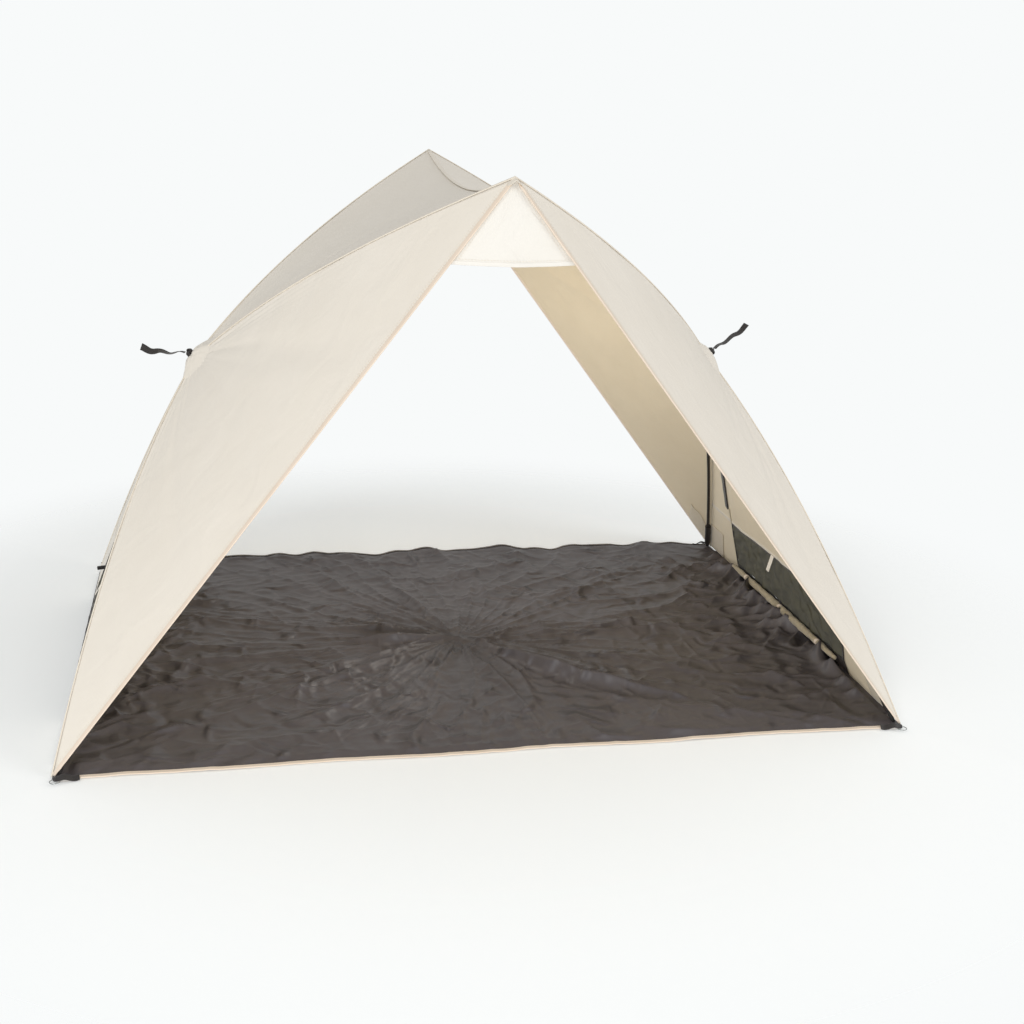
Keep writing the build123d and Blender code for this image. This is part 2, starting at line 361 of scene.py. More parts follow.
def stitches(name, path, normals, offsets, material, pitch=0.0075, length=0.0045, gauge=0.0007):
    """Rows of lockstitch: short raised threads at pitch, set off to the sides of a path."""
    _, across = sideways(path, normals)
    run = np.concatenate([[0], np.cumsum(np.linalg.norm(np.diff(path, axis=0), axis=1))])
    at = np.arange(pitch, run[-1] - pitch, pitch)
    verts, faces = [], []

    def sample(values, where):
        return np.stack([np.interp(where, run, values[:, k]) for k in range(3)], 1)
    for offset in offsets:
        line = path + across * offset
        a, b = sample(line, at - length / 2), sample(line, at + length / 2)
        up, aside = sample(normals, at), sample(across, at)
        for p, q, n, w in zip(a, b, up, aside):
            k = len(verts)
            for end, rise in ((p, 0.0), ((p + q) / 2, gauge), (q, 0.0)):
                verts += [end + w * gauge / 2, end + n * rise, end - w * gauge / 2]
            faces += [(k, k + 1, k + 4, k + 3), (k + 1, k + 2, k + 5, k + 4), (k + 3, k + 4, k + 7, k + 6),
                      (k + 4, k + 5, k + 8, k + 7)]
    piece, _ = new_piece(name, [tuple(v) for v in verts], faces)
    return paint(piece, material)


binding_tape = woven("polyester binding tape, peach cream", "EEDFCF", "DCC9B4", 0.15, 0.0012, 0.68, crease=0.1)
thread_material, _, thread_shader = new_material("polyester sewing thread", 0.6)
thread_shader.inputs["Base Color"].default_value = colour("E4DACA")
seam_welt = woven("felled taffeta seam", "E9E1D4", "DED4C4", 0.08, 0.0016, 0.72, crease=0.05, weave=0.04)
seam_runs = np.linspace(0.022, 1, 130)
SIDE_WALL_SHARE = 0.74        # the side wall's stitches stop above its window
STITCH_INSET = 0.0075

for place, side in SIDES:
    for kind, end, label in (("foot", -1, "front_lower"), ("foot", 1, "rear_lower"),
                             ("peak", -1, "front_upper"), ("peak", 1, "rear_upper")):
        path = (seam(kind, end, seam_runs) + OUT * 0.0012) * (side, 1, 1)
        normals = np.tile(OUT, (len(path), 1)) * (side, 1, 1)
        welt = tape(f"{place}_{label}_seam", path, normals, 0.0055, 0.0030, seam_welt)
        follow_ridge(welt)
    for label, (a, b, *_) in PANELS.items():
        limit = seam_runs if label != "side" else seam_runs * SIDE_WALL_SHARE
        inward = STITCH_INSET / np.linalg.norm(seam(*b, limit) - seam(*a, limit), axis=-1)
        for which in (0, 1):
            path, normals = wall_line(label, side, limit, 1 - inward if which else inward, 0.0002)
            rows = stitches(f"{place}_{label}_stitches_{which + 1}", path[3:], normals[3:], (0,), thread_material)
            if label == "side":
                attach(rows, f"{place}_wall")
            else:
                follow_ridge(rows)
    for label, _ in ENDS:
        v = np.linspace(0.004, 0.992, 150)
        path, normals = wall_line(label, side, np.ones(150), v)
        edge = tape(f"{place}_{label}_edge_binding", path, normals, 0.013, 0.0032, binding_tape)
        path, normals = wall_line(label, side, np.full(150, 0.985), v, 0.0004)
        rows = stitches(f"{place}_{label}_edge_stitches", path, normals, (-0.003, 0.003), thread_material)
        for piece in (edge, rows):
            follow_ridge(piece)

PEAK_CAP_REACH, PEAK_CAP_TOP = 0.024, 1.4235
# The ridge seam joins the two top panels. It is the same felled seam, and dips between the peaks.
ridge_v = np.linspace(0.012, 0.988, 120)
ridge_path = wall_cloth(PEAK_FRONT, PEAK_REAR, np.ones(120), ridge_v, 0.016, RIDGE_SAG) + (0, 0, 0.0012)
ridge_seam = tape("ridge_seam", ridge_path, np.tile(UP, (120, 1)), 0.012, 0.0026, seam_welt)
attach(ridge_seam, "ridge")
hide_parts("ridge_panel")
for label, end in ENDS:
    # A folded cap of the same cloth covers the tip of each peak, sewn over both upper seams.
    turn, fall = spans((0, 2 * math.pi, 40), (0, 1, 10))
    reach = PEAK_CAP_REACH * fall ** 0.8
    sideward, endward = reach * np.cos(turn), reach * np.sin(turn)
    cap = np.stack([sideward * 0.8, end * 0.690 + endward * 1.0,
                    PEAK_CAP_TOP - 0.80 * np.abs(sideward) - 0.25 * np.abs(endward) - 0.1 * reach], -1)
    cap_piece = grid_mesh(f"{label}_peak_cap", cap, np.stack([turn * 0.02, reach], -1), 1, DOUBLE_CLOTH, True, UP)
    paint(cap_piece, seam_welt, inside_with_painted_shade)
    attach(cap_piece, "ridge")

# ------------------------------ gussets
# A white triangle of thin cloth closes the top of each opening. Its hem sags a little between the
# walls, and soft diagonal pulls run down from the peak.
gusset_cloth = woven("polyester taffeta, white", "E6E3DD", "DEDAD2", 0.06, 0.0016, 0.7, crease=0.35, crease_size=0.07)
GUSSET_TOP, GUSSET_LOW = 0.999, 0.862        # share of the opening's edge, from foot to peak


def gusset_points(end, down, over):
    """Points of a gusset: down runs from peak to hem, and over from the left edge to the right."""
    v = GUSSET_TOP + (GUSSET_LOW - GUSSET_TOP) * down
    corner = FOOT * (1, end, 1) + (PEAK - FOOT)[None] * (1, end, 1) * v[..., None]
    points = corner * np.stack([2 * over - 1, np.ones_like(over), np.ones_like(over)], -1)
    hollow = 4 * over * (1 - over)
    points[..., 2] -= 0.004 * hollow * down ** 3
    pull = np.cos(9 * over + 7 * down) * np.exp(-((over - 0.3 - 0.25 * down) / 0.12) ** 2)
    pull += 0.8 * np.cos(11 * over - 6 * down + 1) * np.exp(-((over - 0.72 + 0.2 * down) / 0.10) ** 2)
    points[..., 1] += end * (0.010 * hollow * down - 0.004 + 0.0055 * pull * down * hollow)
    return points


for label, end in ENDS:
    down, over = spans((0, 1, 60), (0, 1, 80))
    points = gusset_points(end, down, over)
    piece = grid_mesh(f"{label}_gusset_cloth", points, np.stack([over * 0.3, down * 0.2], -1), 1, CLOTH, True,
                      np.array((0.0, end, 0)))
    paint(piece, gusset_cloth, gusset_cloth)
    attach(piece, "ridge")
    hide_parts(f"{label}_gusset")
    trims = []
    line = np.linspace(0.0, 1, 60)
    hem = gusset_points(end, np.full(60, 0.995), line)
    outward = np.tile((0.0, end, 0), (60, 1))
    trims.append(tape(f"{label}_gusset_hem", hem, outward, 0.010, 0.0026, gusset_cloth))
    trims.append(stitches(f"{label}_gusset_hem_stitches", hem + (0, end * 0.0014, 0.009), outward, (0,),
                          thread_material))
    for name, at in (("left", 0.045), ("right", 0.955)):
        down_line = np.linspace(0.12, 0.98, 60)
        path = gusset_points(end, down_line, np.full(60, at)) + (0, end * 0.001, 0)
        trims.append(stitches(f"{label}_gusset_{name}_stitches", path, outward, (-0.003, 0.003), thread_material))
    for trim in trims:
        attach(trim, "ridge")
    for part in (piece, *trims):
        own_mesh(part)

# ------------------------------ side walls and windows
# The side wall is one layer of taffeta with a long mesh window low down, edged in black piping. Its
# rolled-up cover is tied along the base. Below the window the floor cloth is turned up and gathered.
WINDOW_TOP, WINDOW_BASE = 0.755, 0.950        # share of the way from hub to foot
# The side wall's inside face gets a brighter tone than the other panels' inside: painted light on a face that lies in
# shade.
side_inside_painted_light = woven("polyester taffeta, side wall inside with painted light", "EFE3CA", "E4D6BB", 0.10, 0.0016, 0.65, sheen=0.1)
cover_cloth = woven("polyester taffeta, rolled cover", "B9AC90", "9C8F74", 0.15, 0.0016, 0.65, crease=0.5,
                    crease_size=0.02)
dark_hem = woven("polyurethane-coated polyester, turned up", "5A5350", "463F3C", 0.12, 0.0016, 0.42, crease=0.9,
                 crease_size=0.06, sheen=0.0, weave=0.08, crumple="RIDGED_MULTIFRACTAL")
black_webbing = woven("polyester webbing, black", "2A2422", "151110", 0.5, 0.0020, 0.6, crease=0.05, weave=0.6)
tag_tape = woven("polyester twill tape, white", "F4EEE4", "E4DBCD", 0.2, 0.0012, 0.7, crease=0.1)

# Real netting has holes under 1 mm. They are drawn at 3 mm so that they show.
netting, net_tree, net_shader = new_material("polyester netting, dark olive", 0.8)
net_uv = add(net_tree, "ShaderNodeTexCoord").outputs["UV"]
net_rows = [add(net_tree, "ShaderNodeTexWave", {"Vector": net_uv}, bands_direction=way, Scale=0.314 / 0.0030)
            for way in ("X", "Y")]
net_hole = add(net_tree, "ShaderNodeMath", {0: net_rows[0].outputs["Fac"], 1: net_rows[1].outputs["Fac"]},
               operation="MULTIPLY")
net_cover = add(net_tree, "ShaderNodeMapRange", {"Value": net_hole.outputs["Value"]}, To_Min=1.0, To_Max=0.86)
net_cloud = add(net_tree, "ShaderNodeTexNoise", {"Vector": net_uv}, Scale=1 / 0.05, Detail=3.0)
net_tone = two_tones(net_tree, net_cloud.outputs["Fac"], "2E2C20", "5A563F")
net_tree.links.new(net_tone, net_shader.inputs["Base Color"])
net_tree.links.new(net_cover.outputs["Result"], net_shader.inputs["Alpha"])


def window_end(t, which):
    """Where the window's front edge (which = 0) or rear edge (1) lies, as a share of the wall's width."""
    if which:
        return np.interp(t, (WINDOW_TOP, WINDOW_BASE), (0.815, 0.800))
    return np.interp(t, (WINDOW_TOP, 0.845, WINDOW_BASE), (0.245, 0.150, 0.205))


def side_piece(name, side, t_range, start, finish, cells, materials, replaced=None, thickness=CLOTH, wrinkle=0.0,
               coarse=0.0):
    """Part of the side wall between two edges, each a share of the width that may change with t."""
    t, s = spans((*t_range, cells[0] + 1), (0, 1, cells[1] + 1))
    v = start(t) * (1 - s) + finish(t) * s
    points = wall_cloth(FOOT_FRONT, FOOT_REAR, t, v, 0.010)
    lift = pulls(FOOT_FRONT, FOOT_REAR, t, v, 9) * 0.9
    lift += wrinkle * (np.sin(v * 90 + 3 * np.sin(t * 60)) + 0.6 * np.sin(v * 47 - t * 80))
    held = np.clip(np.minimum(s, 1 - s) / 0.03, 0, 1)
    held = held * np.clip(np.minimum(t - t_range[0], t_range[1] - t) / 0.012, 0, 1)
    lift -= coarse * held * (1 + np.sin(v * 61 + 4 * np.sin(v * 19) + t * 25) + 0.7 * np.sin(v * 113 - t * 60))
    points = points + OUT * lift[..., None]
    width = np.linalg.norm(seam(*FOOT_REAR, t) - seam(*FOOT_FRONT, t), axis=-1)
    piece = grid_mesh(name, points, np.stack([(v - 0.5) * width, t], -1), side, thickness, len(materials) > 1,
                      OUT * (side, 1, 1))
    paint(piece, *materials)
    if replaced:
        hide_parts(replaced)
    return piece


def side_line(t, v, side, inside=0.0):
    return wall_line("side", side, t, v, -inside)


TIE_SHARES = (0.15, 0.5, 0.85)        # where the three ties sit along the rolled cover
first_edge, last_edge = (lambda t: 0 * t), (lambda t: 0 * t + 1)
front_end, rear_end = (lambda t: window_end(t, 0)), (lambda t: window_end(t, 1))
for place, side in SIDES:
    upper = side_piece(f"{place}_side_cloth", side, (PANEL_START, WINDOW_TOP), first_edge, last_edge, (70, 90),
                       (canopy_taffeta, side_inside_painted_light), f"{place}_side_panel")
    net = side_piece(f"{place}_window_net", side, (WINDOW_TOP, WINDOW_BASE), front_end, rear_end, (40, 130),
                     (netting,), f"{place}_window_mesh", thickness=0.0, wrinkle=0.0016, coarse=0.0040)
    follow = [net]
    rolled = [upper]
    for label, start, finish, long, replaced in (
            ("front", first_edge, front_end, 0.47, f"{place}_corner_patches"),
            ("rear", rear_end, last_edge, 0.40, None)):
        corner = side_piece(f"{place}_{label}_corner_cloth", side, (WINDOW_TOP, 0.994), start, finish, (40, 24),
                            (canopy_taffeta, side_inside_painted_light), replaced)
        rolled.append(corner)
    hem = side_piece(f"{place}_hem_upstand", side, (WINDOW_BASE, 0.997), front_end, rear_end, (16, 220),
                     (dark_hem, dark_hem), f"{place}_hem_band", wrinkle=0.0010, coarse=0.0030)
    follow.append(hem)
    line = np.linspace(0, 1, 120)
    down = WINDOW_TOP + (WINDOW_BASE - WINDOW_TOP) * line
    top_run = front_end(WINDOW_TOP) + (rear_end(WINDOW_TOP) - front_end(WINDOW_TOP)) * line
    base_run = front_end(WINDOW_BASE) + (rear_end(WINDOW_BASE) - front_end(WINDOW_BASE)) * line
    for label, t, v, width, thick, inside, material in (
            ("window_hem", np.full(120, WINDOW_TOP - 0.006), line * 0.990 + 0.005, 0.014, 0.0026, 0.0, seam_welt),
            ("window_top_piping", np.full(120, WINDOW_TOP), top_run, 0.005, 0.005, 0.001, black_webbing),
            ("window_base_piping", np.full(120, WINDOW_BASE), base_run, 0.005, 0.005, 0.001, black_webbing),
            ("window_front_piping", down, front_end(down), 0.006, 0.006, 0.001, black_webbing),
            ("window_rear_piping", down, rear_end(down), 0.005, 0.005, 0.001, black_webbing),
            ("side_webbing", 0.40 + 0.29 * line, 0.857 + 0.03 * (0.62 - line), 0.020, 0.0050, 0.0038, black_webbing),
            ("side_seam", 0.69 + (WINDOW_TOP - 0.69) * line, np.full(120, 0.830) - 0.012 * line, 0.008, 0.0026, 0.0018,
             cover_cloth)):
        path, normals = side_line(t, v, side, inside)
        follow.append(tape(f"{place}_{label}", path, normals, width, thick, material))
    # The cover is rolled to a slim, uneven sausage, tightest at its three ties.
    roll_ends = np.array([front_end(WINDOW_BASE) + 0.005, rear_end(WINDOW_BASE) - 0.01])
    ends, _ = side_line(np.full(2, WINDOW_BASE - 0.010), roll_ends, side, 0.023)
    run = np.linspace(0, 1, 180)
    core = ends[0] + (ends[1] - ends[0]) * run[:, None]
    normals = np.tile(OUT * (side, 1, 1), (180, 1))
    roll = tape(f"{place}_rolled_cover", core, normals, 0.022, 0.022, cover_cloth)
    shape = np.array([v.co for v in roll.data.vertices]).reshape(180, 12, 3)
    swell = 1 + 0.12 * np.sin(run * 71)[:, None] * np.cos(np.arange(12) * 1.1 + run[:, None] * 31) - 0.22 * sum(
        np.exp(-((run - tie) / 0.012) ** 2) for tie in TIE_SHARES)[:, None]
    swell *= (0.45 + 0.55 * np.sin(math.pi * np.clip(run * 0.96 + 0.02, 0, 1)) ** 0.5)[:, None]
    shape = core[:, None] + (shape - core[:, None]) * swell[..., None]
    roll.data.vertices.foreach_set("co", shape.reshape(-1).astype(np.float32))
    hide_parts(f"{place}_window_roll")
    rolled.append(roll)
    reach = ends[1] - ends[0]
    along = reach / np.linalg.norm(reach)
    for k, share in enumerate(TIE_SHARES):
        turn = circle(28)
        first = OUT * (side, 1, 1)
        second = np.cross(along, first)
        spoke = first * np.cos(turn)[:, None] + second * np.sin(turn)[:, None]
        girth = 0.0100 * (0.45 + 0.55 * math.sin(math.pi * (share * 0.96 + 0.02)) ** 0.5)
        loop = tape(f"{place}_cover_tie_{k + 1}", ends[0] + reach * share + spoke * girth, spoke, 0.012, 0.0016,
                    binding_tape, closed=True)
        rolled.append(loop)
        if k == 0:
            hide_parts(f"{place}_roll_ties")
    # A white tie tape hangs inside at the window's top edge, and its toggle and tail stand outside.
    hang = np.linspace(0, 1, 24)[:, None]
    for label, v, t, out, drop, width in (("tie_tab", 0.500, WINDOW_TOP - 0.006, -0.010, 0.052, 0.019),
                                          ("outer_tie_tail", 0.480, WINDOW_TOP - 0.012, 0.026, 0.046, 0.012)):
        (first,), (normal,) = side_line(np.array([t]), np.array([v]), side, 0.003 if out < 0 else -0.003)
        path = first + hang * (out * side, 0.006, -drop)
        follow.append(tape(f"{place}_{label}", path, np.tile(normal, (24, 1)), width, 0.002, tag_tape))
    hang = hang[:, 0]
    path, normals = side_line(WINDOW_TOP - 0.055 + 0.024 * np.sin(hang * math.pi), np.full(24, 0.480), side, -0.001)
    path = path + OUT * (side, 1, 1) * (0.030 * np.sin(hang * math.pi))[:, None]
    follow.append(tape(f"{place}_outer_tie_loop", path, np.tile((0.0, 1, 0), (24, 1)), 0.009, 0.012, black_webbing))
    for piece in follow + rolled:
        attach(piece, f"{place}_wall")

# ------------------------------ ground sheet
# The floor is one loose rectangle of coated charcoal cloth, never ironed flat: creases run out from
# the middle, a few folds stand up, and the rear edge wanders. The two open edges are bound.
SHEET_X, SHEET_Y = 1.099, 0.783
floor_cloth = woven("polyurethane-coated polyester, charcoal", "5B5658", "4A4648", 0.10, 0.0016, 0.42, crease=1.6,
                    crease_size=0.085, sheen=0.0, weave=0.08, crumple="RIDGED_MULTIFRACTAL")


def nearest_on(line, x, y):
    """Distance from grid points to a polyline, and how far along it the nearest point is, 0 to 1."""
    best, where = np.full(x.shape, 9.0), np.zeros(x.shape)
    count = len(line) - 1
    for k in range(count):
        a, d = line[k], line[k + 1] - line[k]
        u = np.clip(((x - a[0]) * d[0] + (y - a[1]) * d[1]) / (d @ d), 0, 1)
        off = np.hypot(x - a[0] - u * d[0], y - a[1] - u * d[1])
        near = off < best
        best = np.where(near, off, best)
        where = np.where(near, (k + u) / count, where)
    return best, where


def bent_line(points, count=24):
    """A smooth curve through three points."""
    a, b, c = (np.array(p, float) for p in points)
    u = np.linspace(0, 1, count)[:, None]
    middle = 2 * b - (a + c) / 2
    return a * (1 - u) ** 2 + middle * 2 * u * (1 - u) + c * u ** 2


def crease_line(rng, begin, finish, x, y, tall, wide, taper=1.0):
    """A straight crease of random height and width between two points, fading out at both ends."""
    off, u = nearest_on(np.stack([begin, finish]), x, y)
    fade = np.sin(math.pi * np.clip(u, 0.02, 0.98)) ** taper
    return rng.uniform(*tall) * np.exp(-off / rng.uniform(*wide)) * fade


def facets(x, y):
    """Distance to the nearest of scattered points, one to a unit cell: flat tilted faces of crumpled cloth."""
    flat = [noise.voronoi(Vector((a, b, 0.5)))[0][0] for a, b in zip(x.ravel().tolist(), y.ravel().tolist())]
    return np.array(flat).reshape(x.shape)


def crinkle(x, y):
    """Height of the loose sheet above the ground."""
    rng = np.random.default_rng(21)
    centre = np.array((0.006, -0.042))
    away, angle = np.hypot(x - centre[0], (y - centre[1]) * 1.25), np.arctan2(y - centre[1], x - centre[0])
    sway = 0.35 * np.sin(x * 7 + 2 * np.sin(y * 5))
    height = 0.0045 * facets(angle * 4.2 + 20 + sway * 0.3, away / 0.30) * np.clip(away / 0.25, 0, 1)
    height += 0.0045 * facets(x / 0.105 + sway, y / 0.085)
    height += 0.0038 * facets(x / 0.052 + 40, y / 0.036 + sway)
    # Sharp creases that fan out from the middle, where the sheet was gathered for packing.
    for count, tall in ((9, 0.0105), (16, 0.0090), (27, 0.0070), (44, 0.0046)):
        phase = count * angle / 2 + 0.7 * np.sin(away * (4 + count / 9) + count) + 0.5 * np.sin(x * 6 + y * 5 + count)
        patch = np.clip(0.45 + 0.75 * np.sin(x * (3 + count % 5) + y * (4 + count % 7) + count), 0, 1)
        height += tall * (1 - np.abs(np.sin(phase))) ** 3.5 * patch * np.clip(away / 0.12, 0, 1)
    for _ in range(58):
        angle, start, length = rng.uniform(0, 2 * math.pi), rng.uniform(0, 0.25), rng.uniform(0.35, 1.05)
        way = np.array((math.cos(angle), math.sin(angle) * 0.8))
        begin = centre + way * start
        finish = begin + way * length + rng.uniform(-0.06, 0.06, 2)
        height += crease_line(rng, begin, finish, x, y, (0.0030, 0.0085), (0.008, 0.022), 0.7)
    for _ in range(420):
        begin = np.array((rng.uniform(-1.08, 1.08), rng.uniform(-0.77, 0.77)))
        angle, length = rng.uniform(0, math.pi), rng.uniform(0.06, 0.26)
        finish = begin + length * np.array((math.cos(angle), math.sin(angle)))
        height += crease_line(rng, begin, finish, x, y, (0.0016, 0.0056), (0.004, 0.012))
    # Two tall folds that stand up, and three low ones.
    for points, tall, wide in ((((0.006, -0.042), (-0.16, -0.060), (-0.330, -0.040)), 0.030, 0.012),
                               (((0.062, -0.089), (0.250, -0.340), (0.560, -0.550)), 0.036, 0.014),
                               (((0.006, -0.042), (0.020, 0.240), (-0.040, 0.520)), 0.006, 0.012),
                               (((0.006, -0.042), (0.330, 0.030), (0.640, 0.000)), 0.007, 0.012),
                               (((-0.05, -0.120), (-0.300, -0.420), (-0.640, -0.600)), 0.006, 0.014)):
        off, u = nearest_on(bent_line(points), x, y)
        height += tall * np.exp(-(off / wide) ** 1.5) * np.sin(math.pi * np.clip(u * 0.94 + 0.03, 0, 1)) ** 0.6
    # Along both side walls the spare cloth is gathered, deepest beside the windows.
    for _, side in SIDES:
        inward = SHEET_X - side * x
        depth = np.exp(-((inward - 0.045) / (0.050 + 0.030 * np.sin(y * 5 + 1))) ** 2)
        depth = depth * np.clip(1 - (np.abs(y) / 0.66) ** 6, 0, 1)
        fold = 1 + 0.60 * (1 - 2 * np.abs(np.sin(y * 17 + 3 * np.sin(y * 11) + x * 22)))
        fold = fold + 0.30 * (1 - 2 * np.abs(np.sin(y * 37 - x * 41 + 2)))
        height += 0.028 * depth * fold
        for _ in range(46):
            begin = np.array((side * rng.uniform(0.86, 1.07), rng.uniform(-0.62, 0.62)))
            angle = rng.uniform(-0.9, 0.9)
            finish = begin - side * rng.uniform(0.05, 0.20) * np.array((math.cos(angle), math.sin(angle)))
            height += crease_line(rng, begin, finish, x, y, (0.005, 0.016), (0.006, 0.012))
    return height


def sheet_points(across, back):
    """Across and back run from 0 to 1 over the sheet, from front left to rear right."""
    x = (2 * across - 1) * SHEET_X
    near_corner = np.abs(2 * across - 1) ** 6
    wander = 0.020 + 0.010 * np.sin(x * 9) + 0.007 * np.sin(x * 23 + 1) + 0.004 * np.sin(x * 61)
    rear = SHEET_Y + (1 - near_corner) * wander
    front = -SHEET_Y + (1 - near_corner) * (0.004 + 0.004 * np.sin(x * 11))
    y = front + (rear - front) * back
    rise = crinkle(x, y)
    held_down = np.clip((SHEET_X - np.abs(x)) / 0.02, 0.15, 1)
    held_down = held_down * np.clip((np.minimum(y - front, rear - y)) / 0.03, 0.25, 1)
    hem_wave = np.clip(1 - (rear - y) / 0.12, 0, 1) * 0.005
    hem_wave = hem_wave * (1.6 + np.sin(x * 19 + 2) + 0.6 * np.sin(x * 47)) * (1 - near_corner)
    turn_up = 0.008 * np.clip(1 - (SHEET_X - np.abs(x)) / 0.012, 0, 1) * (np.abs(y) < 0.70)
    return np.stack([x, y, 0.0016 + rise * held_down + hem_wave + turn_up], -1)


across, back = spans((0, 1, 521), (0, 1, 373))
points = sheet_points(across, back)
sheet = grid_mesh("ground_cloth", points, points[..., :2], face_out=UP)
paint(sheet, floor_cloth)
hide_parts("ground_sheet")
floor_trims = [sheet]
line = np.linspace(0.004, 0.996, 260)
for label, at in (("front", 0.0), ("rear", 1.0)):
    path = sheet_points(line, np.full(260, at)) + (0, 0, 0.0012)
    upright = np.tile(UP, (260, 1))
    width, thick = (0.010, 0.0022) if at else (0.014, 0.0030)
    trim = tape(f"{label}_hem_binding", path, upright, width, thick, dark_hem if at else binding_tape)
    inner = path + (0, -0.003 if at else 0.003, 0.0013)
    rows = stitches(f"{label}_hem_stitches", inner, upright, (0,), thread_material)
    for piece in (trim, rows):
        floor_trims.append(piece)
for piece in floor_trims:
    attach(piece, "ground")
    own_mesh(piece)

# ------------------------------ reinforcement patches
# A second layer of cloth is sewn over each foot and each peak, where the pole pockets pull hardest.
patch_cloth = woven("polyester oxford cloth, cream", "DDD2BE", "C9BCA4", 0.25, 0.0022, 0.68, crease=0.2)
PATCH_DEPTH = 0.0022        # how far a patch lies inside the panel's middle


def sewn_patch(name, label, side, t, v):
    """A patch that lies inside a panel and follows its creases."""
    shape, normals = on_cloth(panel_of(label, side), t.ravel(), v.ravel())
    shape = (shape - normals * PATCH_DEPTH).reshape(*t.shape, 3)
    patch = grid_mesh(name, shape, np.stack([v, t], -1), side, DOUBLE_CLOTH, True, OUT * (side, 1, 1))
    paint(patch, patch_cloth, patch_cloth)
    return patch


for place, side in SIDES:
    for label, _ in ENDS:
        for end, v_from, v_to in (("foot", 0.004, 0.085), ("peak", 0.915, 0.992)):
            t, v = spans((0.90, 0.995, 26), (v_from, v_to, 26))
            wave = 0.012 * np.sin(np.linspace(0, 9, 26))
            t = t + (1 - (t - 0.90) / (0.995 - 0.90)) * wave * 0.6
            patch = sewn_patch(f"{place}_{label}_{end}_patch", label, side, t, v)
            follow_ridge(patch)

    for label, v_from, v_to in (("front", 0.004, 0.100), ("rear", 0.900, 0.996)):
        t, v = spans((0.860, 0.990, 24), (v_from, v_to, 20))
        patch = sewn_patch(f"{place}_{label}_side_foot_patch", "side", side, t, v)
        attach(patch, f"{place}_wall")

# ------------------------------ pull straps and corner loops
# Black polyester webbing. A pull strap is knotted through each hub cap, so that the hub can be pulled
# outward. A short loop at each foot holds a steel ring for a stake.
STRAP_WIDTH, STRAP_LONG = 0.020, 0.130
HUB_COVER_RADIUS = 0.080


def strap_path(root, way, droop, turns):
    """The middle line of a pull strap, which droops and twists, and the directions out of its face."""
    run = np.linspace(0, 1, 60)
    way = np.array(way, float) / np.linalg.norm(way)
    path = root + way * (0.012 + run[:, None] * (STRAP_LONG - 0.012))
    path[:, 2] += -droop * np.sin(math.pi * run) + 0.003 * np.sin(run * 14)
    path[:, 1] += 0.004 * np.sin(run * 6)
    first = np.cross(way, (0, 1, 0))
    second = np.cross(way, first)
    angle = turns * run ** 1.2
    return path, first * np.cos(angle)[:, None] + second * np.sin(angle)[:, None]


def cloth_height(flat, side):
    """How far the wall's cloth near the hub stands out, at points given across and along the hub's plane."""
    grid = spans((PANEL_START, 0.16, 26), (0, 1, 50))
    t, v = (g.ravel() for g in grid)
    known = np.concatenate([on_cloth(panel_of(label, side), t, v)[0] - HUB for label in PANELS])
    across = np.stack([known @ np.cross((0, 1, 0), OUT), known[:, 1]], 1)
    gap = ((flat[:, None] - across[None]) ** 2).sum(-1)
    near = np.argsort(gap, axis=1)[:, :4]
    weight = 1 / (np.take_along_axis(gap, near, 1) + 1e-7)
    return ((known @ OUT)[near] * weight).sum(1) / weight.sum(1)


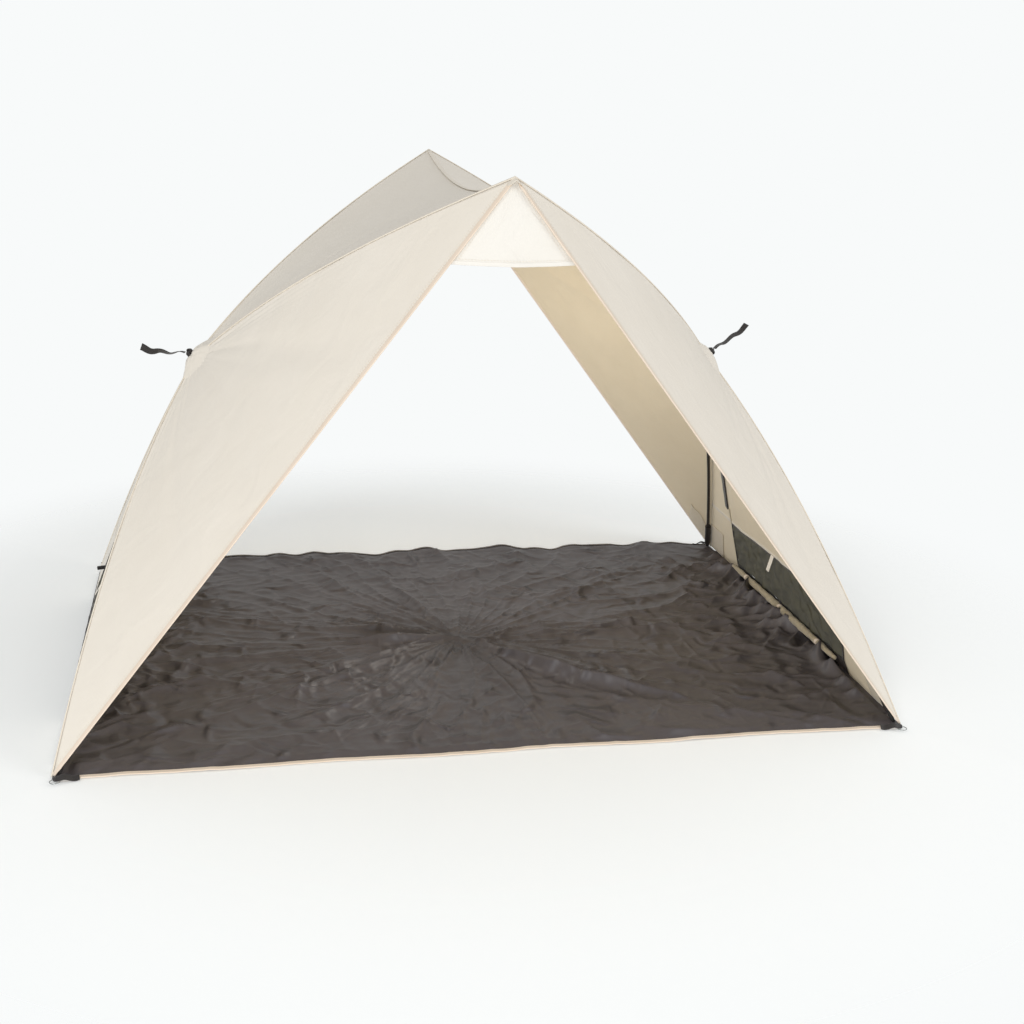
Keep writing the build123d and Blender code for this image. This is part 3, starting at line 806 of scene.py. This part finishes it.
for place, side in SIDES:
    # A round cap of canopy cloth is sewn over each hub, with the strap coming out at its middle.
    turn, fall = spans((0, 2 * math.pi, 73), (0.06, 1, 26))
    round_x, round_y = np.cross((0, 1, 0), OUT), np.array((0.0, 1, 0))
    pucker = 0.0006 * np.cos(turn * 12) * fall * (1 - fall) * 4
    rise = 0.0180 * (1 - fall ** 2) ** 1.6 + pucker + 0.0012 - 0.0016 * fall ** 8
    flat = np.stack([np.cos(turn), np.sin(turn)], -1) * (HUB_COVER_RADIUS * fall)[..., None]
    rise = rise + cloth_height(flat.reshape(-1, 2), side).reshape(fall.shape)
    cover = HUB + round_x * flat[..., :1] + round_y * flat[..., 1:] + OUT * rise[..., None]
    cap = grid_mesh(f"{place}_hub_cover", cover, np.stack([turn * 0.05, fall * 0.066], -1), side, DOUBLE_CLOTH, True,
                    OUT * (side, 1, 1))
    paint(cap, canopy_taffeta, inside_with_painted_shade)
    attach(cap, f"{place}_wall")
    root = (HUB + OUT * 0.020) * (side, 1, 1)
    way = (1, 0, 0.75) if side > 0 else (-1, 0, 0.12)
    path, normals = strap_path(root, way, 0.004 if side > 0 else 0.006, 0.5 if side > 0 else 1.5)
    band = tape(f"{place}_pull_webbing", path, normals, STRAP_WIDTH, 0.0019, black_webbing, roundness=0.8)
    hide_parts(f"{place}_pull_strap")
    turn = circle(90)
    knot_shape = np.stack([np.sin(turn) + 2 * np.sin(2 * turn), np.cos(turn) - 2 * np.cos(2 * turn),
                           -1.2 * np.sin(3 * turn)], 1) * 0.0036
    along = np.array(way, float) / np.linalg.norm(way)
    aside = np.array((0.0, 1, 0))
    over = np.cross(along, aside)
    knot_path = root + knot_shape @ np.stack([aside, over, along])
    outward = knot_path - root
    outward /= np.linalg.norm(outward, axis=1)[:, None]
    knot = tape(f"{place}_pull_knot", knot_path, outward, 0.0095, 0.0034, black_webbing, closed=True)
    bar = stitches(f"{place}_pull_end_stitches", path[-9:] + normals[-9:] * 0.0011, normals[-9:],
                   (-0.007, -0.003, 0.003, 0.007), black_webbing, pitch=0.0035, length=0.0024)
    for piece in (band, knot, bar):
        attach(piece, f"{place}_strap")
    for label, end in ENDS:
        low, high = (np.array(c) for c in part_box(f"{place}_{label}_loop"))
        middle, half = (low + high) / 2, (high - low) / 2
        around = circle(48)
        loop_path = np.stack([np.zeros(48), rounded(np.cos(around), 0.6) * (half[1] - 0.0009),
                              rounded(np.sin(around), 0.6) * (half[2] - 0.0009)], 1) + middle
        outward = np.stack([np.zeros(48), np.cos(around), np.sin(around)], 1)
        loop = tape(f"{place}_{label}_corner_loop", loop_path, outward, 0.010, 0.0017, black_webbing, closed=True)
        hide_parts(f"{place}_{label}_loop")
        # The webbing's folded tail lies along the hem, sewn flat over the foot.
        tail = np.linspace(0, 1, 40)
        tail_path = np.stack([middle[0] - side * 0.056 * tail, middle[1] + end * (0.004 + 0.003 * np.sin(tail * 5)),
                              0.0045 + 0.006 * np.sin(tail * 4.0) ** 2 + 0.004 * (1 - tail)], 1)
        lean = np.array((0.0, end * 0.55, 0.83))
        tab = tape(f"{place}_{label}_corner_tail", tail_path, np.tile(lean, (40, 1)), 0.015, 0.0030, black_webbing,
                   roundness=0.8)
        for piece in (loop, tab):
            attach(piece, f"{place}_wall")

# ------------------------------ poles, hubs and hardware
# Black wrapped fibreglass poles, hub parts moulded in glass-filled nylon, and bright zinc-plated steel
# pins, bolts and rings. These keep their CAD shapes and take the finish of the real part.
def hard_finish(name, base, worn, roughness, grain, depth, metallic=0.0, stretch=(1, 1, 1), **more):
    """A moulded, wrapped or plated surface: worn is its lighter tone, and grain its texture size."""
    material, tree, shader = new_material(name, roughness, metallic, **more)
    place = add(tree, "ShaderNodeTexCoord").outputs["Object"]
    scaled = add(tree, "ShaderNodeVectorMath", {0: place}, operation="MULTIPLY")
    scaled.inputs[1].default_value = stretch
    speckle = add(tree, "ShaderNodeTexNoise", {"Vector": scaled.outputs["Vector"]}, Scale=1 / grain, Detail=4.0)
    blotch = add(tree, "ShaderNodeTexNoise", {"Vector": place}, Scale=1 / 0.02, Detail=3.0)
    tree.links.new(two_tones(tree, blotch.outputs["Fac"], base, worn), shader.inputs["Base Color"])
    rough = add(tree, "ShaderNodeMapRange", {"Value": speckle.outputs["Fac"]}, To_Min=roughness - 0.08,
                To_Max=roughness + 0.1)
    tree.links.new(rough.outputs["Result"], shader.inputs["Roughness"])
    relief = add(tree, "ShaderNodeBump", {"Height": speckle.outputs["Fac"]}, Strength=depth, Distance=0.0004)
    tree.links.new(relief.outputs["Normal"], shader.inputs["Normal"])
    return material


# Grain is drawn at 1.5 to 3 mm, coarser than the real 0.2 mm spark texture, so that it shows.
finishes = {
    "pole": hard_finish("wrapped fibreglass, black", "1D1817", "2D2725", 0.38, 0.003, 0.25, stretch=(1, 1, 0.25),
                        IOR=1.55),
    "nylon": hard_finish("glass-filled nylon, black", "211C1A", "352F2C", 0.5, 0.0015, 0.4, IOR=1.53),
    "steel": hard_finish("zinc-plated steel", "C4C7C6", "A9ADAD", 0.3, 0.0025, 0.15, metallic=1.0),
    "rubber": hard_finish("moulded rubber, black", "1B1918", "2A2726", 0.75, 0.002, 0.5, IOR=1.52)}
endings_of = {
    "pole": ("_pole",), "nylon": ("hub_base", "hub_cap", "hub_sockets", "foot_sleeves", "peak_eyes", "peak_bracket"),
    "steel": ("peak_pin", "hub_bolt", "hub_pins", "_ring"), "rubber": ("foot_tips",)}
for node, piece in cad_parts.items():
    for finish, endings in endings_of.items():
        if node.endswith(endings):
            paint(piece, *[finishes[finish]] * max(1, len(piece.data.materials)))

# ------------------------------ stage, light and camera
# A pale sweep, one big soft light high on the left, a fill on the right, and a pale room.
def stage_floor():
    """A white floor that fades into the white room beyond the shelter, so no horizon shows."""
    rings, spokes = (0.01, 1.0, 2.0, 3.0, 4.5, 6.0, 8.0, 60.0), 72
    turns = [2 * math.pi * k / spokes for k in range(spokes)]
    verts = [(r * math.cos(turn), r * math.sin(turn), -0.001) for r in rings for turn in turns]
    faces = [(i * spokes + k, i * spokes + (k + 1) % spokes, (i + 1) * spokes + (k + 1) % spokes,
              (i + 1) * spokes + k) for i in range(len(rings) - 1) for k in range(spokes)]
    floor, _ = new_piece("floor", verts, faces)
    material, tree, shader = new_material("painted studio floor", 0.9)
    shader.inputs["Base Color"].default_value = colour("EAECEC")
    shader.inputs["Specular IOR Level"].default_value = 0.1
    shader.inputs["Emission Color"].default_value = colour("F8FAFA")
    shader.inputs["Emission Strength"].default_value = 0.22
    place = add(tree, "ShaderNodeTexCoord").outputs["Object"]
    away = add(tree, "ShaderNodeVectorMath", {0: place}, operation="LENGTH")
    fade = add(tree, "ShaderNodeMapRange", {"Value": away.outputs["Value"]}, interpolation_type="SMOOTHSTEP",
               From_Min=1.30, From_Max=2.3, To_Min=1.0, To_Max=0.0)
    tree.links.new(fade.outputs["Result"], shader.inputs["Alpha"])
    paint(floor, material)


def soft_light(name, place, aim, size, power):
    data = bpy.data.lights.new(name, "AREA")
    data.shape, data.size, data.energy = "DISK", size, power
    lamp = new_object(name, data)
    lamp.location = place
    lamp.rotation_euler = (Vector(aim) - Vector(place)).to_track_quat("-Z", "Y").to_euler()
    return lamp


stage_floor()
soft_light("key", (-3.2, -5.0, 4.6), (0, 0, 0.6), 2.2, 66)
soft_light("fill", (4.8, -3.5, 3.0), (0, 0, 0.5), 3.0, 94)
soft_light("low front", (-1.6, -5.2, 0.7), (0.4, 0.4, 0.7), 2.0, 108)
# Pale cloth lets light through, which fills the inside. Two soft lamps under the ridge stand for it.
for _, side in SIDES:
    lamp = soft_light("glow through the cloth", (-0.12 * side, 0.15, 0.56), (0.9 * side, 0.40, 0.70), 0.5, 2.9)
    lamp.data.color = (1.0, 0.97, 0.92)
    lamp.visible_camera = False
world = bpy.data.worlds.new("studio room")
world.use_nodes = True
room = world.node_tree
seen = room.nodes["Background"]
seen.inputs["Color"].default_value = colour("F8FAFA")
lit = add(room, "ShaderNodeBackground", Color=colour("F7F7F5"), Strength=0.65)
pick = add(room, "ShaderNodeMixShader", {0: add(room, "ShaderNodeLightPath").outputs["Is Camera Ray"],
                                         1: lit.outputs["Background"], 2: seen.outputs["Background"]})
room.links.new(pick.outputs["Shader"], room.nodes["World Output"].inputs["Surface"])
bpy.context.scene.world = world
bpy.context.scene.view_settings.view_transform = "Standard"

camera_data = bpy.data.cameras.new("camera")
camera_data.lens = 48.77
camera_data.sensor_width = 36
camera_data.clip_end = 200
camera = new_object("camera", camera_data)
eye, target, roll = Vector((-0.672, -3.914, 1.608)), Vector((0.169, 0, 0.397)), math.radians(1.99)
ahead = (target - eye).normalized()
level = ahead.cross(Vector((0, 0, 1))).normalized()
upright = level.cross(ahead)
right = level * math.cos(roll) + upright * math.sin(roll)
up = upright * math.cos(roll) - level * math.sin(roll)
camera.matrix_world = Matrix.Translation(eye) @ Matrix((right, up, -ahead)).transposed().to_4x4()
bpy.context.scene.camera = camera
